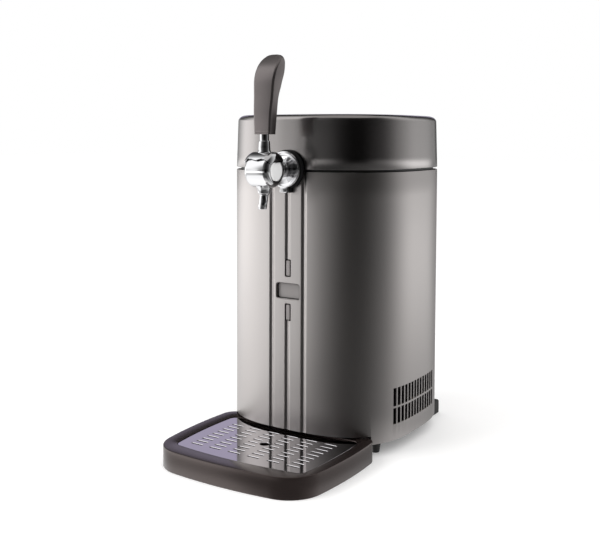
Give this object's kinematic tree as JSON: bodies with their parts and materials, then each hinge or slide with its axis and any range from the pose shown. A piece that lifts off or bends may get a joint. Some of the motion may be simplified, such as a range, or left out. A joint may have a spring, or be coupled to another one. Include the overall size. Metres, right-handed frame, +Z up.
{
  "type": "mini keg beer dispenser",
  "caption": "Countertop cooler for a 5 litre keg: squarish steel body with a hinged lid, a chrome tap with a long pull lever and a slide-out drip tray with a slotted plate.",
  "frame": {"origin": "on the floor, under the middle of the whole object's outline in plan", "axes": "+Z up, the tap and the drip tray face -Y, +X is to the right of someone facing the tap from behind the object, so to the right of the picture"},
  "size_m": [0.26, 0.4238, 0.5227],
  "materials": {
    "body_steel": "satin",
    "lid_steel": "satin",
    "grey_plastic": "satin",
    "lens_plastic": "satin",
    "black_plastic": "satin",
    "black_rubber": "matte",
    "bare_aluminium": "satin",
    "white_plastic": "satin",
    "insulation_foam": "matte",
    "bright_chrome": "polished",
    "polished_steel": "polished",
    "handle_plastic": "satin",
    "clear_tube": "gloss",
    "circuit_board": "satin"
  },
  "bodies": {
    "cabinet": {"body_shell": "body_steel", "display_frame": "grey_plastic", "badge_plate": "lens_plastic", "upper_lens": "lens_plastic", "lower_lens": "lens_plastic", "light_board": "circuit_board", "base_pan": "black_plastic", "front_foot_left": "black_rubber", "front_foot_right": "black_rubber", "rear_foot_left": "black_rubber", "rear_foot_right": "black_rubber", "fan_frame": "black_plastic", "heat_sink": "bare_aluminium", "heat_pump": "white_plastic", "cold_block": "bare_aluminium", "keg_tub": "bare_aluminium", "tub_insulation": "insulation_foam", "top_deck": "black_plastic", "hinge_base": "bright_chrome", "hinge_pin": "bright_chrome", "tap_body": "bright_chrome", "tap_end_cap_left": "bright_chrome", "tap_end_cap_right": "bright_chrome", "tap_spout": "bright_chrome", "tap_gasket": "black_rubber", "tap_flange": "bright_chrome", "tap_bracket": "bare_aluminium", "tap_nut": "bright_chrome", "keg_coupler": "bright_chrome", "beer_line": "clear_tube", "rear_panel": "black_plastic", "power_inlet": "black_plastic", "switch_housing": "black_plastic", "power_supply": "bare_aluminium", "control_board": "circuit_board", "inlet_lead": "black_rubber", "pump_lead": "black_rubber"},
    "lever": {"lever_cap": "bright_chrome", "lever_stem": "bright_chrome", "lever_handle": "handle_plastic", "valve_rotor": "white_plastic"},
    "lid": {"lid_shell": "lid_steel", "lid_liner": "white_plastic", "lid_insulation": "insulation_foam", "lid_gasket": "black_rubber", "hinge_leaf": "bright_chrome"},
    "tray": {"drip_tray": "black_plastic"},
    "plate": {"drip_plate": "polished_steel"},
    "fan": {"fan_rotor": "grey_plastic"},
    "rocker": {"rocker_switch": "black_plastic"}
  },
  "joints": [
    {"name": "lever_pull", "type": "hinge", "parent": "cabinet", "child": "lever", "pos_m": [0, -0.11618, 0.3755], "axis": [1, 0, 0], "range_deg": [0, 40]},
    {"name": "lid_open", "type": "hinge", "parent": "cabinet", "child": "lid", "pos_m": [0, 0.20788, 0.3741], "axis": [-1, 0, 0], "range_deg": [0, 85]},
    {"name": "tray_slide", "type": "slide", "parent": "cabinet", "child": "tray", "axis": [0, -1, 0], "range_m": [0, 0.06]},
    {"name": "plate_lift", "type": "slide", "parent": "tray", "child": "plate", "axis": [0, 0, 1], "range_m": [0, 0.03]},
    {"name": "fan_spin", "type": "hinge", "parent": "cabinet", "child": "fan", "pos_m": [0, 0.07082, 0.04], "axis": [0, 0, 1], "continuous": true},
    {"name": "rocker_tilt", "type": "hinge", "parent": "cabinet", "child": "rocker", "pos_m": [0.024, 0.19318, 0.054], "axis": [0, 0, 1], "range_deg": [0, 18]}
  ]
}
